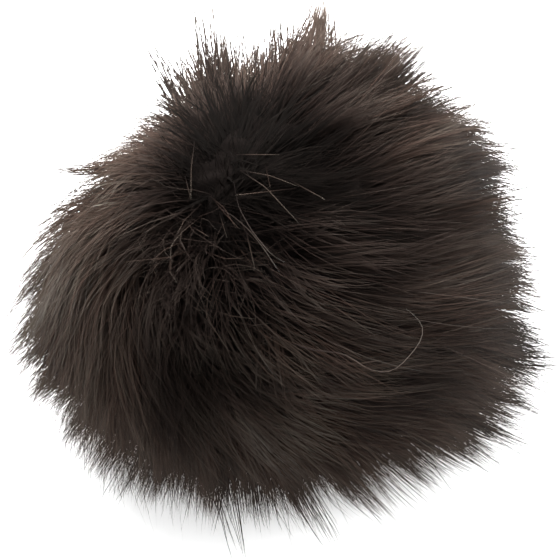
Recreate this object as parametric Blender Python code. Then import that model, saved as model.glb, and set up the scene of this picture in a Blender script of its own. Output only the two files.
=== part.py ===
"""A fur pom pom, lying on its own pressed underside, in metres with +Z up.

The ball is one solid: a lumpy core of dense underfur, and locks of guard hair that grow out of it, each a
three-sided blade that tapers to a point. The hair parts along a line over the top of the ball and is combed
away from it to both sides. Where the ball rests, the underfur is pressed flat, and the short locks round that
patch bend outward and lie along the floor.

The origin is the middle of the base. -Y is the front of the ball, and +X its right side.
"""

from typing import NamedTuple

import bmesh
import bpy
import numpy as np

MM = 0.001

# The dense core: half its width (X), depth (Y) and height (Z) before it is pressed on the floor.
CORE_HALF = np.array([42.0, 40.5, 49.0]) * MM
CORE_CENTRE = np.array([0.0, 0.0, 42.0]) * MM
CORE_SUBDIVISIONS = 3

# A lock's root is a triangle of the core's mesh, drawn in until this share of its sides is left.
ROOT_SHARE = 0.5
LOCK_RINGS = 5
LOCK_REACH = 27 * MM
# Each ring's width as a share of the root's: the lock stays full, then closes to its tip.
RING_WIDTHS = (1.0, 0.86, 0.70, 0.50, 0.27)
# A lock is this much thinner, across the way it is combed, than it is wide.
FLATNESS = 0.62
# How far a lock leans from straight out, at its root and at its tip, in degrees.
LEAN_ROOT, LEAN_TIP = 16.0, 62.0
# A lock's direction from the core's centre has an upward share, from -1 at the bottom of the ball to 1 at its
# top. Over these ranges of it the lean grows from none to the full one, and the length from its underside share
# to the full one. Below the last value the underside is bare.
LEAN_FADE = (-0.75, 0.65)
REACH_FADE = (-0.85, 0.0)
UNDERSIDE_REACH = 0.40
BARE_BELOW = -0.86
# A lobe swells the locks' length by this many times as much as the core's radius.
LOBE_REACH = 2.0
# Below this height a lock's way down is drawn level, and the lock comes no lower than the clearance.
FLOOR_BEND = 24 * MM
FLOOR_CLEARANCE = 0.9 * MM

RANDOM_SEED = 3
SHUFFLE_MESH = 0.10  # of the distance between the core's points
UNEVEN_REACH = 0.17  # of a lock's length, longer or shorter
UNEVEN_COMB = 0.16  # sideways, for each length along the comb's way
TINY = 1e-9


class Lobe(NamedTuple):
    """A swelling (or a hollow, where it is below 0) in the outline of the ball."""

    azimuth: float  # degrees, from +X towards +Y
    elevation: float  # degrees above the horizon
    spread: float  # degrees
    swell: float  # share of the radius


LOBES = (
    Lobe(azimuth=36, elevation=22, spread=20, swell=0.085),  # right shoulder, at the back
    Lobe(azimuth=82, elevation=32, spread=12, swell=0.080),  # crown
    Lobe(azimuth=102, elevation=42, spread=6, swell=-0.080),  # cleft where the parting ends
    Lobe(azimuth=110, elevation=30, spread=9, swell=0.110),  # tuft left of the cleft
    Lobe(azimuth=142, elevation=22, spread=17, swell=-0.200),  # waist behind the left flank
    Lobe(azimuth=194, elevation=4, spread=24, swell=0.060),  # left flank
    Lobe(azimuth=232, elevation=-12, spread=18, swell=0.060),  # left hip
    Lobe(azimuth=330, elevation=-6, spread=18, swell=0.170),  # right hip
)

# The parting runs over the top of the ball, a little left of the middle, between these two directions.
PARTING_FRONT = np.array([-0.25, -0.50, 0.83])
PARTING_BACK = np.array([-0.22, 0.80, 0.55])
PARTING_STEPS = 13
# How sharply the nearest stretch of the parting outweighs the rest of it.
PARTING_GRIP = 7.0


class Comb(NamedTuple):
    """A stroke of the comb: near this direction the hair is drawn towards a point of the compass."""

    azimuth: float
    elevation: float
    spread: float
    strength: float
    towards: tuple[float, float, float]


COMBS = (
    Comb(205, 38, 38, 2.2, (-0.35, -0.80, -0.48)),  # left flank, swept down towards the front
    Comb(162, 36, 20, 1.6, (-0.60, -0.68, -0.42)),  # behind the left flank, laid along it
    Comb(112, 36, 12, 3.0, (-0.20, 0.70, 0.70)),  # tuft left of the cleft, standing up
    Comb(70, 40, 24, 0.7, (0.30, 0.70, 0.55)),  # crown, up and away from the parting
    Comb(278, 24, 22, 0.7, (0.80, -0.50, -0.30)),  # front, drawn over to the right
    Comb(325, 4, 20, 0.8, (0.50, -0.75, -0.43)),  # right hip, down towards the front
)


def unit(vectors):
    """Vectors scaled to length 1, along their last axis."""
    return vectors / np.maximum(np.linalg.norm(vectors, axis=-1, keepdims=True), TINY)


def compass(azimuth, elevation):
    """The unit vector at an azimuth and an elevation, in degrees."""
    a, e = np.radians([azimuth, elevation])
    return np.array([np.cos(a) * np.cos(e), np.sin(a) * np.cos(e), np.sin(e)])


def nearness(directions, azimuth, elevation, spread):
    """A bell curve of the angle between each direction and one place on the ball."""
    angle = np.degrees(np.arccos(np.clip(directions @ compass(azimuth, elevation), -1, 1)))
    return np.exp(-0.5 * (angle / spread) ** 2)


def swelling(directions):
    """How far the lobes together swell the ball each way, or draw it in, as a share of its radius."""
    return sum(lobe.swell * nearness(directions, *lobe[:3]) for lobe in LOBES)


def core_radius(directions):
    """The core's radius each way: an ellipsoid's, with the lobes added."""
    ellipsoid = 1 / np.linalg.norm(directions / CORE_HALF, axis=-1)
    return ellipsoid * (1 + swelling(directions))


def on_core(directions):
    """The core's surface each way from its centre, pressed flat where the floor holds it up."""
    points = CORE_CENTRE + directions * core_radius(directions)[:, None]
    points[:, 2] = np.maximum(points[:, 2], 0)
    return points


def combed(directions):
    """The way the hair is combed, along the ball: away from the parting, with the comb's strokes added."""
    steps = np.linspace(0, 1, PARTING_STEPS)[:, None]
    parting = unit(PARTING_FRONT + (PARTING_BACK - PARTING_FRONT) * steps)
    grip = np.exp(PARTING_GRIP * directions @ parting.T)
    nearest = grip @ parting / grip.sum(axis=1, keepdims=True)
    way = unit(directions - nearest)
    for comb in COMBS:
        near = nearness(directions, *comb[:3])[:, None]
        way = way + comb.strength * near * np.array(comb.towards)
    along = way - directions * (way * directions).sum(axis=1, keepdims=True)
    return unit(along)


def share_between(low, high, values):
    """0 below low, 1 above high, and a smooth rise between."""
    t = np.clip((values - low) / (high - low), 0, 1)
    return t * t * (3 - 2 * t)


def level_near_floor(outward, heights):
    """Outward directions, with the way down taken out of them as the floor comes near."""
    level = outward.copy()
    level[:, 2] *= np.where(outward[:, 2] < 0, share_between(0, FLOOR_BEND, heights), 1)
    return unit(level)


def lock_paths(roots, lengths, turns):
    """Where each lock runs: from its root, straight out at first and then over into the comb's way.

    Each step looks up the ball's outward direction and the comb's way again, so a long lock follows the
    ball round. A lock near the floor runs on along it.
    """
    points = [roots]
    step = lengths[:, None] / LOCK_RINGS
    for ring in range(LOCK_RINGS):
        here = points[-1]
        outward = level_near_floor(unit(here - CORE_CENTRE), here[:, 2])
        along = unit(combed(outward) + turns)
        along = unit(along - outward * (along * outward).sum(axis=1, keepdims=True))
        lean = LEAN_ROOT + (LEAN_TIP - LEAN_ROOT) * (ring + 1) / LOCK_RINGS
        lean = np.radians(lean) * share_between(*LEAN_FADE, outward[:, 2:3])
        onward = here + step * (outward * np.cos(lean) + along * np.sin(lean))
        onward[:, 2] = np.maximum(onward[:, 2], FLOOR_CLEARANCE)
        points.append(onward)
    return np.stack(points, axis=1)


def shuffled_ball(random):
    """A ball of triangles, with its points moved a little so that the locks stand in no pattern."""
    mesh = bmesh.new()
    bmesh.ops.create_icosphere(mesh, subdivisions=CORE_SUBDIVISIONS, radius=1)
    side = np.mean([edge.calc_length() for edge in mesh.edges])
    for vert in mesh.verts:
        moved = np.array(vert.co) + random.normal(0, SHUFFLE_MESH * side, 3)
        vert.co = unit(moved)
    return mesh


def root_faces(mesh):
    """Draws a root in from each face that doesn't lie on the floor, and returns the roots."""
    grown = [face for face in mesh.faces if face.calc_center_median().normalized().z > BARE_BELOW]
    for face in grown:
        centre = face.calc_center_median()
        inradius = min((centre - (edge.verts[0].co + edge.verts[1].co) / 2).length for edge in face.edges)
        bmesh.ops.inset_individual(mesh, faces=[face], thickness=(1 - ROOT_SHARE) * inradius, depth=0)
    return grown


def grow_locks(mesh, roots, random):
    """Draws each root out along its path, ring by ring, and closes it to a point."""
    centres = np.array([face.calc_center_median() for face in roots])
    directions = unit(centres - CORE_CENTRE)
    lengths = LOCK_REACH * random.uniform(1 - UNEVEN_REACH, 1 + UNEVEN_REACH, len(roots))
    lengths *= UNDERSIDE_REACH + (1 - UNDERSIDE_REACH) * share_between(*REACH_FADE, directions[:, 2])
    lengths *= 1 + LOBE_REACH * swelling(directions)
    turns = random.normal(0, UNEVEN_COMB, (len(roots), 3))
    paths = lock_paths(centres, lengths, turns)
    for face, path in zip(roots, paths):
        grow_lock(mesh, face, path)


def ring_axes(path, ring):
    """The lock's two ways across at a ring: sideways, and in the plane that it bends in."""
    onward = unit(path[min(ring + 1, LOCK_RINGS)] - path[max(ring - 1, 0)])
    outward = unit(path[ring] - CORE_CENTRE)
    sideways = unit(np.cross(onward, outward))
    return sideways, np.cross(sideways, onward)


def grow_lock(mesh, face, path):
    """Draws one lock out of its root face."""
    outward = unit(path[0] - CORE_CENTRE)
    sideways, _ = ring_axes(path, 1)
    along = np.cross(outward, sideways)
    corners = [np.array(vert.co) - path[0] for vert in face.verts]
    across = [(corner @ sideways, corner @ along) for corner in corners]
    for ring in range(1, LOCK_RINGS):
        face = bmesh.ops.extrude_discrete_faces(mesh, faces=[face])["faces"][0]
        side_axis, bend_axis = ring_axes(path, ring)
        width = RING_WIDTHS[ring]
        for vert, (wide, thick) in zip(face.verts, across):
            place = path[ring] + width * (wide * side_axis - thick * FLATNESS * bend_axis)
            place[2] = max(place[2], 0)
            vert.co = place
    tip = bmesh.ops.extrude_discrete_faces(mesh, faces=[face])["faces"][0]
    bmesh.ops.pointmerge(mesh, verts=list(tip.verts), merge_co=path[LOCK_RINGS])


def fur_material():
    """Dyed animal hair: dark brown, with the low broad sheen of a hair's scaly surface."""
    material = bpy.data.materials.new("dyed_fur")
    material.use_nodes = True
    shader = material.node_tree.nodes["Principled BSDF"]
    shader.inputs["Base Color"].default_value = (0.034, 0.023, 0.019, 1)
    shader.inputs["Roughness"].default_value = 0.6
    shader.inputs["Metallic"].default_value = 0
    return material


def build_fur_ball():
    """The whole pom pom as one object, centred over the origin."""
    random = np.random.default_rng(RANDOM_SEED)
    mesh = shuffled_ball(random)
    roots = root_faces(mesh)
    directions = unit(np.array([vert.co for vert in mesh.verts]))
    for vert, place in zip(mesh.verts, on_core(directions)):
        vert.co = place
    grow_locks(mesh, roots, random)
    places = np.array([vert.co for vert in mesh.verts])
    middle = (places.min(axis=0) + places.max(axis=0)) / 2
    for vert in mesh.verts:
        vert.co.x -= middle[0]
        vert.co.y -= middle[1]
    data = bpy.data.meshes.new("fur_ball")
    mesh.to_mesh(data)
    mesh.free()
    data.materials.append(fur_material())
    ball = bpy.data.objects.new("fur_ball", data)
    bpy.context.scene.collection.objects.link(ball)
    return ball


def main():
    """Clears the scene and builds the pom pom."""
    for old in list(bpy.data.objects):
        bpy.data.objects.remove(old)
    build_fur_ball()


main()
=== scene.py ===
"""A dark brown fur pom pom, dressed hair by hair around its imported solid.

The ball is dyed long-haired fur. It parts over its top, is combed away from the parting to both sides, and
lies on its own pressed underside. Lengths are in metres, +Z is up, -Y is the front and +X is the right side.

A place on the ball is given by its azimuth and elevation in degrees, as seen from the ball's centre: azimuth
0 is the right side, 90 the back, 180 the left side and 270 the front, and elevation 90 is the top.
"""

from __future__ import annotations

import logging
import math
from dataclasses import dataclass, field
from enum import Enum

import bpy
import numpy as np
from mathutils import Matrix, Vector


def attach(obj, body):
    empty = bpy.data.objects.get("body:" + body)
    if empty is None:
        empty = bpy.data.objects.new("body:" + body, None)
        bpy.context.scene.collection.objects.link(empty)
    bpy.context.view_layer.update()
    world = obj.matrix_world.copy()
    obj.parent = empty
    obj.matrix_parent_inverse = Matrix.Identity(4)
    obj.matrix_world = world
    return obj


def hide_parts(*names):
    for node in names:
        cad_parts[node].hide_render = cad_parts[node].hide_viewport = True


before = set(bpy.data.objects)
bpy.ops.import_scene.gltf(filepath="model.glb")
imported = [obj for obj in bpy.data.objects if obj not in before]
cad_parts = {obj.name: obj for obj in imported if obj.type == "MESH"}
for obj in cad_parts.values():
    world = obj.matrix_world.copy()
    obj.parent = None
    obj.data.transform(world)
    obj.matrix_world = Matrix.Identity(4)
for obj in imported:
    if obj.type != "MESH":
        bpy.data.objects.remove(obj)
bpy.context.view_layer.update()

LOG = logging.getLogger("pom_pom")
MM = 0.001
TINY = 1e-9
SOLID = "fur_ball"
BODY = "root"
TONE_MAP = "OFBake"


# --------------------------------------------------------------------------------------------- small helpers


def linear_colour(code: str) -> tuple[float, float, float, float]:
    """Turns an sRGB hex colour into linear light.

    Args:
        code: Six hex digits, such as "3a2c26".

    Returns:
        Red, green, blue and an alpha of 1.
    """
    shares = [int(code[i : i + 2], 16) / 255 for i in (0, 2, 4)]
    linear = [s / 12.92 if s <= 0.04045 else ((s + 0.055) / 1.055) ** 2.4 for s in shares]
    return (*linear, 1.0)


def unit(vectors: np.ndarray) -> np.ndarray:
    """Vectors scaled to length 1 along their last axis."""
    return vectors / np.maximum(np.linalg.norm(vectors, axis=-1, keepdims=True), TINY)


def share_between(low: float, high: float, values: np.ndarray) -> np.ndarray:
    """0 below low, 1 above high, and the smooth rise 3t^2 - 2t^3 between."""
    t = np.clip((values - low) / (high - low), 0, 1)
    return t * t * (3 - 2 * t)


def compass(azimuth: float, elevation: float) -> np.ndarray:
    """The unit vector at an azimuth (from +X towards +Y) and an elevation, in degrees."""
    a, e = np.radians([azimuth, elevation])
    return np.array([np.cos(a) * np.cos(e), np.sin(a) * np.cos(e), np.sin(e)])


def nearness(directions: np.ndarray, azimuth: float, elevation: float, spread: float) -> np.ndarray:
    """A bell curve of the angle between each direction and one place on the ball.

    Args:
        directions: Unit vectors, one a row.
        azimuth: The place's azimuth in degrees.
        elevation: The place's elevation in degrees.
        spread: The bell's standard deviation in degrees.

    Returns:
        exp(-angle^2 / (2 spread^2)) for each direction.
    """
    angle = np.degrees(np.arccos(np.clip(directions @ compass(azimuth, elevation), -1, 1)))
    return np.exp(-0.5 * (angle / spread) ** 2)


def even_directions(count: int, random: np.random.Generator, jitter: float) -> np.ndarray:
    """Directions spread evenly over a sphere along a golden spiral, then moved a little.

    Args:
        count: How many directions.
        random: The source of the moves.
        jitter: The size of a move, as a share of the distance between neighbours.

    Returns:
        Unit vectors, one a row.
    """
    step = np.arange(count) + 0.5
    height = 1 - 2 * step / count
    turn = step * math.pi * (3 - math.sqrt(5))
    ring = np.sqrt(1 - height**2)
    spiral = np.stack([ring * np.cos(turn), ring * np.sin(turn), height], axis=1)
    spacing = math.sqrt(4 * math.pi / count)
    return unit(spiral + random.normal(0, jitter * spacing, (count, 3)))


def new_mesh(name: str, points: np.ndarray, faces: np.ndarray) -> bpy.types.Mesh:
    """Puts whole arrays of points and equal-sided faces into a smooth-shaded mesh.

    Args:
        name: The mesh's name.
        points: Vertex places, one a row.
        faces: Vertex numbers, one face a row.

    Returns:
        The mesh.
    """
    mesh = bpy.data.meshes.new(name)
    count, sides = faces.shape
    mesh.vertices.add(len(points))
    mesh.vertices.foreach_set("co", points.astype(np.float32).ravel())
    mesh.loops.add(count * sides)
    mesh.loops.foreach_set("vertex_index", faces.astype(np.int32).ravel())
    mesh.polygons.add(count)
    mesh.polygons.foreach_set("loop_start", (np.arange(count) * sides).astype(np.int32))
    mesh.polygons.foreach_set("use_smooth", np.ones(count, bool))
    mesh.update(calc_edges=True)
    mesh.validate()
    return mesh


def new_round_mesh(name: str, points: np.ndarray, rows: int, columns: int) -> bpy.types.Mesh:
    """Joins a bottom point, rows of columns and a top point into a closed mesh of triangles.

    Args:
        name: The mesh's name.
        points: The bottom point, the rows from the bottom up, and the top point.
        rows: How many rows.
        columns: How many points in each row.

    Returns:
        The mesh, with its faces outward.
    """
    number = 1 + np.arange(rows * columns).reshape(rows, columns)
    beside = np.roll(number, -1, axis=1)
    low = np.stack([number[:-1], beside[:-1], beside[1:]], axis=-1).reshape(-1, 3)
    high = np.stack([number[:-1], beside[1:], number[1:]], axis=-1).reshape(-1, 3)
    foot = np.stack([np.zeros(columns, int), beside[0], number[0]], axis=-1)
    top = np.full(columns, rows * columns + 1)
    crown = np.stack([number[-1], beside[-1], top], axis=-1)
    return new_mesh(name, points, np.concatenate([foot, low, high, crown]))


def place_piece(name: str, mesh: bpy.types.Mesh, material: bpy.types.Material) -> bpy.types.Object:
    """Makes an object at the origin that rides on the ball's body and stands for its solid.

    Args:
        name: The piece's name.
        mesh: Its mesh.
        material: What it is made of.

    Returns:
        The piece.
    """
    mesh.materials.append(material)
    piece = bpy.data.objects.new(name, mesh)
    bpy.context.scene.collection.objects.link(piece)
    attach(piece, BODY)
    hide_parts(SOLID)
    LOG.info("%s: %d faces", name, len(mesh.polygons))
    return piece


def add_node(
    tree: bpy.types.NodeTree,
    kind: str,
    settings: dict[str, object] | None = None,
    links: dict[str, bpy.types.NodeSocket] | None = None,
) -> bpy.types.Node:
    """Adds one node to a material.

    Args:
        tree: The material's node tree.
        kind: The node's type name, without its "ShaderNode" start.
        settings: Input names or node properties, and their values.
        links: Input names, and the sockets that feed them.

    Returns:
        The node.
    """
    node = tree.nodes.new("ShaderNode" + kind)
    for name, value in (settings or {}).items():
        if name in node.inputs:
            node.inputs[name].default_value = value
        else:
            setattr(node, name, value)
    for name, socket in (links or {}).items():
        tree.links.new(socket, node.inputs[name])
    return node


# ------------------------------------------------------------------------------------------- how the fur lies


@dataclass(frozen=True)
class Lobe:
    """A swelling of the ball, or a hollow where swell is below 0: a bell curve over the sphere."""

    azimuth: float
    elevation: float
    spread: float
    swell: float


def added_up(lobes: tuple[Lobe, ...], directions: np.ndarray) -> np.ndarray:
    """The sum over the lobes of swell x nearness, for each direction."""
    parts = [lobe.swell * nearness(directions, lobe.azimuth, lobe.elevation, lobe.spread) for lobe in lobes]
    return np.sum(parts, axis=0)


@dataclass(frozen=True)
class Comb:
    """A stroke of the comb: near a place the hair is drawn towards a point of the compass."""

    azimuth: float
    elevation: float
    spread: float
    strength: float
    towards: tuple[float, float, float]


@dataclass
class Ripple:
    """A smooth uneven field over the ball: a sum of sine waves, each with its own bearing and phase."""

    pitch: float  # degrees from crest to crest
    seed: int
    waves: int = 9

    def at(self, directions: np.ndarray) -> np.ndarray:
        """The field sum sin(d . bearing + phase) / sqrt(waves).

        Args:
            directions: Unit vectors d, one a row.

        Returns:
            Its value for each direction: about -1 to 1, with a mean of 0.
        """
        random = np.random.default_rng(self.seed)
        bearings = unit(random.normal(0, 1, (self.waves, 3))) * (360 / self.pitch)
        bearings *= random.uniform(0.7, 1.3, (self.waves, 1))
        phases = random.uniform(0, 2 * math.pi, self.waves)
        return np.sin(directions @ bearings.T + phases).sum(axis=1) / math.sqrt(self.waves)


@dataclass
class Groom:
    """The ball's shape and the way its hair is combed. It repeats the solid's own sizes."""

    centre: np.ndarray = field(default_factory=lambda: np.array([-2.5, 0.36, 42.0]) * MM)
    half: np.ndarray = field(default_factory=lambda: np.array([42.0, 40.5, 49.0]) * MM)
    lobes: tuple[Lobe, ...] = (
        Lobe(36, 22, 20, 0.085),  # right shoulder, at the back
        Lobe(82, 32, 12, 0.080),  # crown
        Lobe(102, 42, 6, -0.080),  # cleft where the parting ends
        Lobe(110, 30, 9, 0.110),  # tuft left of the cleft
        Lobe(142, 22, 17, -0.200),  # waist behind the left flank
        Lobe(194, 4, 24, 0.060),  # left flank
        Lobe(232, -12, 18, 0.060),  # left hip
        Lobe(330, -6, 18, 0.170),  # right hip
    )
    trims: tuple[Lobe, ...] = (  # where the hair alone is longer or shorter
        Lobe(104, 44, 8, -0.50),  # cleft
        Lobe(108, 64, 10, -0.42),  # hair that would lie over it
        Lobe(117, 47, 7, 0.34),  # tuft left of the cleft
        Lobe(131, 43, 6, -0.12),  # left of the tuft
        Lobe(148, 46, 9, 0.06),  # top of the left flank
        Lobe(95, 45, 28, -0.08),  # crown
        Lobe(74, 44, 9, 0.18),  # its highest part
        Lobe(30, 78, 20, -0.10),  # over the top
        Lobe(40, 32, 7, 0.13),  # right shoulder, at the back
        Lobe(76, 38, 5, 0.07),  # behind the crown
        Lobe(326, -8, 8, 0.08),  # point of the right hip
        Lobe(55, 44, 9, -0.26),  # between the crown and the right shoulder
        Lobe(146, 14, 14, 0.12),  # waist
        Lobe(262, -12, 24, -0.18),  # low on the front
        Lobe(238, -2, 15, -0.27),  # between the front and the left hip
        Lobe(202, 8, 16, -0.28),  # left hip
        Lobe(20, -4, 24, -0.06),  # low on the right
        Lobe(336, -12, 12, -0.02),  # right hip
        Lobe(342, 14, 13, -0.18),  # above the right hip
        Lobe(296, 2, 14, -0.19),  # on the front, beside the right hip
    )
    tones_and_painted_light: tuple[Lobe, ...] = (  # where the hair is lighter or darker
        # The broad places, partly the hair's own tone and partly painted light and shade: lighter where the
        # light falls, darker in the parting's hollow.
        Lobe(200, 32, 18, 0.50),  # left flank, painted light where the light grazes it, over tips that are paler of their own
        Lobe(165, 55, 14, 0.18),  # its crest
        Lobe(75, 44, 20, 0.14),  # crown
        Lobe(15, 42, 22, 0.10),  # right shoulder
        Lobe(275, 24, 14, 0.20),  # low on the front
        Lobe(285, 46, 11, 0.14),  # higher on the front
        Lobe(0, 22, 30, 0.08),  # right side
        Lobe(225, 86, 17, -0.48),  # along the parting: painted shade of its hollow, over hair that is darker of its own
        # Locks over the top, on both sides of the parting: painted shade where the top faces the light, and
        # painted light and shade on single locks.
        Lobe(262, 69, 6, 0.10),
        Lobe(321, 60, 12, -0.34),
        Lobe(262, 60, 9, -0.18),
        Lobe(60, 78, 6, 0.12),
        Lobe(22, 70, 7, -0.07),
        Lobe(18, 53, 7, 0.06),
        Lobe(240, 50, 9, -0.06),
        Lobe(145, 77, 12, -0.36),
        Lobe(200, 72, 12, -0.12),
        Lobe(226, 58, 8, 0.12),
        # Locks of the front and the sides, light and dark in turn, partly by their own tone and partly as
        # painted light and shade.
        Lobe(285, 36, 8, -0.10),
        Lobe(305, 20, 8, -0.14),
        Lobe(302, 61, 6, 0.18),
        Lobe(280, 50, 8, 0.14),
        Lobe(222, 61, 6, 0.12),
        Lobe(201, 50, 8, -0.15),
        Lobe(9, 24, 8, -0.14),
        Lobe(286, 34, 9, 0.14),
        Lobe(264, 17, 9, 0.10),
        Lobe(262, 4, 10, 0.12),
        Lobe(290, -4, 10, 0.28),
        Lobe(230, -2, 12, 0.30),
        Lobe(252, 36, 14, -0.30),  # foot of the parting, painted shade in its pit
        Lobe(303, 49, 7, -0.22),
        Lobe(309, 56, 6, 0.12),
        Lobe(314, 14, 8, -0.16),  # right hip
        Lobe(312, 37, 9, 0.16),  # above it
        # The pale lock low on the front, from its root to its tip, and the dark hair above it.
        Lobe(259, 21, 3.5, 0.36),
        Lobe(264, 14, 3.5, 0.30),
        Lobe(268, 8, 3.5, 0.16),
        Lobe(264, 30, 5, -0.14),
        # Tips round the rim, lighter as painted light shining through them.
        Lobe(314, -4, 12, 0.24),
        Lobe(5, 6, 9, 0.20),
        Lobe(27, 22, 8, 0.16),
        Lobe(75, 34, 8, 0.08),
        Lobe(110, 29, 8, 0.14),
        Lobe(139, 28, 8, 0.10),
        Lobe(207, -14, 8, 0.12),
        Lobe(333, -12, 8, 0.14),
    )
    combs: tuple[Comb, ...] = (
        Comb(205, 38, 34, 2.2, (-0.35, -0.80, -0.48)),  # left flank, swept down towards the front
        Comb(162, 42, 20, 1.6, (-0.60, -0.68, -0.42)),  # behind the left flank, laid along it
        Comb(124, 56, 12, 4.5, (-0.24, 0.90, -0.30)),  # tuft left of the cleft, standing up
        Comb(94, 60, 9, 2.5, (0.45, 0.85, -0.30)),  # other side of the cleft
        Comb(112, 30, 14, 2.0, (-0.10, 0.80, 0.60)),  # lower hair of the tuft, lifted with it
        Comb(152, 66, 9, 2.5, (-0.75, 0.55, -0.35)),  # between the tuft and the left flank
        Comb(72, 58, 24, 2.0, (0.45, 0.80, -0.30)),  # crown, up and away from the parting
        Comb(250, 24, 16, 4.0, (0.90, -0.38, -0.20)),  # foot of the parting, drawn across to the right
        Comb(236, 36, 10, 2.0, (0.60, -0.70, -0.35)),  # the same hair where it turns
        Comb(278, 44, 24, 3.0, (0.95, -0.12, -0.20)),  # front, drawn over to the right
        Comb(330, 46, 30, 2.0, (0.80, 0.40, -0.40)),  # right side, level
        Comb(15, 40, 26, 1.6, (0.40, 0.70, -0.50)),  # right shoulder, to the back
        Comb(325, 4, 22, 1.6, (0.50, 0.40, -0.65)),  # right hip
    )
    parting_front: tuple[float, float, float] = (-0.25, -0.72, 0.65)
    parting_back: tuple[float, float, float] = (-0.22, 0.80, 0.55)
    parting_steps: int = 13
    parting_grip: float = 7.0
    furrow_spread: float = 12.0  # degrees
    furrow_depth: float = 0.10
    lobe_reach: float = 2.0  # how much longer the hair is on a lobe, per share of its swell
    underside_reach: float = 0.20  # length of the hair right under the ball, as a share
    parting_trim: float = 0.25  # share of the length lost in the parting
    parting_ruffle: float = 26.0  # degrees
    low_ruffle: float = 15.0  # degrees
    low_lean: float = 0.30  # lean of the hair under the ball, as a share
    parting_rise: float = 0.40  # share of the lean lost in the parting
    low_looseness: float = 0.60  # share of the hold that locks lose low on the ball
    floor_bend: float = 24 * MM  # height below which hair turns level
    floor_clearance: float = 0.5 * MM
    base_tone: float = 0.34  # how light the coat is where no lobe of tone or painted light is given
    shown_share: float = 0.35  # share of a tone that goes by where the hair shows, not by the point's place
    lock_streaks: float = 0.11
    wide_streaks: float = 0.06

    def skin_radius(self, directions: np.ndarray) -> np.ndarray:
        """Where the hair is rooted: the ellipsoid 1 / |d / half| x (1 + lobes - furrow of the parting).

        Args:
            directions: Unit vectors d out of the ball's centre.

        Returns:
            The distance from the centre to the skin, each way.
        """
        ellipsoid = 1 / np.linalg.norm(directions / self.half, axis=-1)
        furrow = self.furrow_depth * self.near_parting(directions)
        return ellipsoid * (1 + added_up(self.lobes, directions) - furrow)

    def parting(self) -> np.ndarray:
        """Points along the parting, as unit vectors from the ball's centre, front to back."""
        front, back = np.array(self.parting_front), np.array(self.parting_back)
        return unit(front + (back - front) * np.linspace(0, 1, self.parting_steps)[:, None])

    def near_parting(self, directions: np.ndarray) -> np.ndarray:
        """A bell curve of the angle to the nearest point of the parting: 1 on it."""
        closest = np.clip((directions @ self.parting().T).max(axis=1), -1, 1)
        return np.exp(-0.5 * (np.degrees(np.arccos(closest)) / self.furrow_spread) ** 2)

    def on_skin(self, directions: np.ndarray, depth: float | np.ndarray = 0.0) -> np.ndarray:
        """Points on the skin, or at a depth under it, and never below the floor.

        Args:
            directions: Unit vectors out of the ball's centre.
            depth: How deep under the skin, for all or for each.

        Returns:
            One point each way.
        """
        radius = self.skin_radius(directions) - depth
        points = self.centre + directions * radius[:, None]
        points[:, 2] = np.maximum(points[:, 2], self.floor_clearance)
        return points

    def outward(self, points: np.ndarray) -> np.ndarray:
        """The way out of the ball, with the way down taken out of it near the floor.

        Args:
            points: Where it is wanted.

        Returns:
            A unit vector at each point.
        """
        way = unit(points - self.centre)
        level = share_between(0, self.floor_bend, points[:, 2])
        way[:, 2] *= np.where(way[:, 2] < 0, level, 1)
        return unit(way)

    def reach(self, directions: np.ndarray) -> np.ndarray:
        """How long the hair is: short underneath and in the parting, long on a lobe, and trimmed by place.

        Args:
            directions: Where each hair is rooted.

        Returns:
            Its length, as a share of the usual.
        """
        full = share_between(-1.0, 0.45, directions[:, 2])
        under = self.underside_reach + (1 - self.underside_reach) * full
        parted = 1 - self.parting_trim * self.near_parting(directions)
        swollen = self.lobe_reach * added_up(self.lobes, directions)
        return under * parted * (1 + swollen + added_up(self.trims, directions))

    def tone_with_painted_light(self, directions: np.ndarray) -> np.ndarray:
        """How light the coat is, from 0 to 1, painted light and shade included: lightest on the left flank,
        darkest in the parting.
        """
        return self.base_tone + added_up(self.tones_and_painted_light, directions)

    def streaks(self, directions: np.ndarray) -> np.ndarray:
        """What is added to that from lock to lock, in narrow streaks and in wide ones."""
        narrow = self.lock_streaks * Ripple(8, 69, 40).at(directions)
        return narrow + self.wide_streaks * Ripple(24, 70, 20).at(directions)

    def tones(self, paths: np.ndarray, shown: np.ndarray) -> np.ndarray:
        """How light each hair is at each of its points.

        Args:
            paths: Points, as hairs x rings x 3.
            shown: The direction in which each hair shows most.

        Returns:
            Tones from 0 to 1, as hairs x rings, by where the hair shows and by where each point is.
        """
        places = unit(paths - self.centre).reshape(-1, 3)
        local = self.tone_with_painted_light(places).reshape(paths.shape[:2])
        whole = self.shown_share * self.tone_with_painted_light(shown) + self.streaks(shown)
        return whole[:, None] + (1 - self.shown_share) * local

    def low(self, directions: np.ndarray) -> np.ndarray:
        """How far each direction points under the ball: 0 above its waist, 1 well below it."""
        return 1 - share_between(-0.60, 0.20, directions[:, 2])

    def ruffled(self, directions: np.ndarray) -> np.ndarray:
        """How much each hair goes its own way, in degrees: most in the parting, and some low on the ball."""
        return self.parting_ruffle * self.near_parting(directions) + self.low_ruffle * self.low(directions)

    def held(self, directions: np.ndarray) -> np.ndarray:
        """How far locks and wisps keep together, as a share of the usual: less low on the ball."""
        return 1 - self.low_looseness * self.low(directions)

    def laid(self, outward: np.ndarray) -> np.ndarray:
        """How far the hair leans over, as a share of the usual: less underneath and in the parting."""
        fade = self.low_lean + (1 - self.low_lean) * share_between(-0.60, 0.45, outward[:, 2])
        return fade * (1 - self.parting_rise * self.near_parting(outward))

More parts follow.
